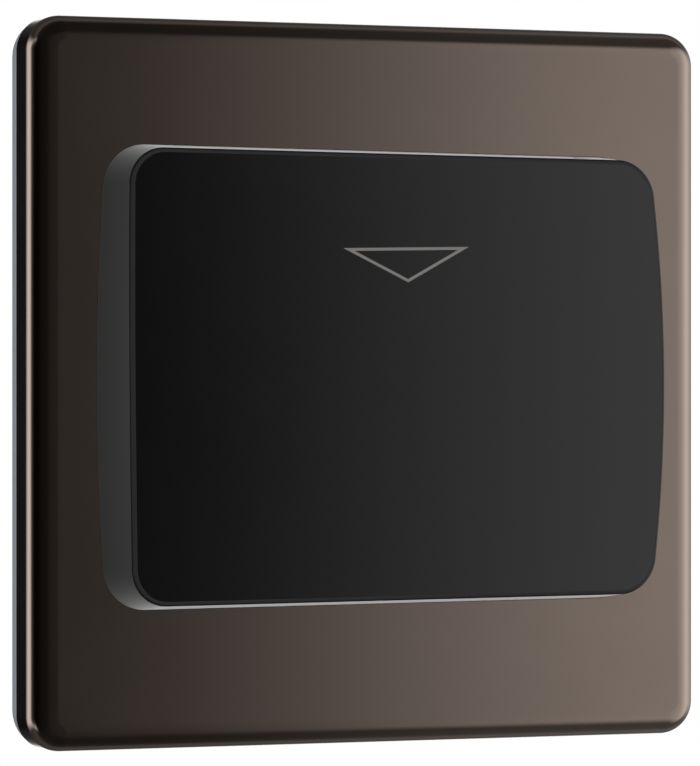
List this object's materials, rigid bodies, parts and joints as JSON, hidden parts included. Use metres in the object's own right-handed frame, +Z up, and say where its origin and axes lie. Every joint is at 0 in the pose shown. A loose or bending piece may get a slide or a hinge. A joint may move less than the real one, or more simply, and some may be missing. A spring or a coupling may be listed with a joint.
{
  "type": "key card switch",
  "caption": "Square wall plate with a raised card holder; a card pushed into its top slot swings a sprung lever that closes a snap switch in the box behind.",
  "frame": {"origin": "midway between the two wall fixing slots, on the back face of the frame that lies on the wall", "axes": "+X right, +Y into the wall, +Z up; the front faces -Y"},
  "size_m": [0.095, 0.0473, 0.095],
  "materials": {
    "black_nickel": "polished black nickel plating on pressed steel",
    "pale_rubber": "matte, slightly translucent",
    "zinc_steel": "zinc plated",
    "spring_steel": "bright spring steel",
    "black_gloss": "moulded gloss black",
    "black_matte": "moulded satin black",
    "clear_acrylic": "clear",
    "white_acetal": "satin",
    "bright_steel": "bright plated",
    "red_phenolic": "satin",
    "brass": "natural",
    "board_laminate": "satin green",
    "led_lens": "tinted clear",
    "film_yellow": "dipped",
    "resistor_coat": "lacquered",
    "black_epoxy": "moulded"
  },
  "bodies": {
    "base": {"wall_gasket": "pale_rubber", "mounting_frame": "zinc_steel", "plate_clips": "spring_steel", "lever_spring": "spring_steel", "rear_housing": "black_matte", "switch_case": "black_matte", "lever_pin": "bright_steel", "switch_pins": "bright_steel", "housing_screws": "bright_steel", "terminal_screws": "bright_steel", "board_screws": "bright_steel", "switch_lid": "red_phenolic", "switch_tabs": "brass", "line_terminal": "brass", "load_terminal": "brass", "neutral_terminal": "brass", "earth_terminal": "brass", "line_busbar": "brass", "load_busbar": "brass", "neutral_link": "brass", "circuit_board": "board_laminate", "locator_led": "led_lens", "dropper_capacitor": "film_yellow", "series_resistor": "resistor_coat", "bridge_rectifier": "black_epoxy"},
    "plate": {"front_plate": "black_nickel"},
    "holder": {"card_holder": "black_gloss", "pocket_back": "black_matte", "pocket_screws": "bright_steel", "light_guide": "clear_acrylic"},
    "lever": {"card_lever": "white_acetal"},
    "plunger": {"switch_plunger": "red_phenolic"},
    "blade": {"contact_blade": "brass"}
  },
  "joints": [
    {"name": "plate_off", "type": "slide", "parent": "base", "child": "plate", "axis": [0, -1, 0], "range_m": [0, 0.025]},
    {"name": "holder_off", "type": "slide", "parent": "base", "child": "holder", "axis": [0, -1, 0], "range_m": [0, 0.025]},
    {"name": "lever_swing", "type": "hinge", "parent": "base", "child": "lever", "pos_m": [0, -0.0035, 0.008], "axis": [1, 0, 0], "range_deg": [0, 10], "stiffness_Nm_per_rad": 0.02, "springref_deg": -28.65, "deforming": ["lever_spring"]},
    {"name": "plunger_press", "type": "slide", "parent": "base", "child": "plunger", "axis": [0, 1, 0], "range_m": [0, 0.00225]},
    {"name": "blade_turn", "type": "hinge", "parent": "base", "child": "blade", "pos_m": [-0.0135, 0.0095, -0.004], "axis": [0, 0, 1], "range_deg": [0, 6]}
  ],
  "couplings": [
    {"joint": "plunger_press", "follows": "lever_swing", "m_per_rad": 0.0121},
    {"joint": "blade_turn", "follows": "lever_swing", "ratio": 0.54}
  ]
}
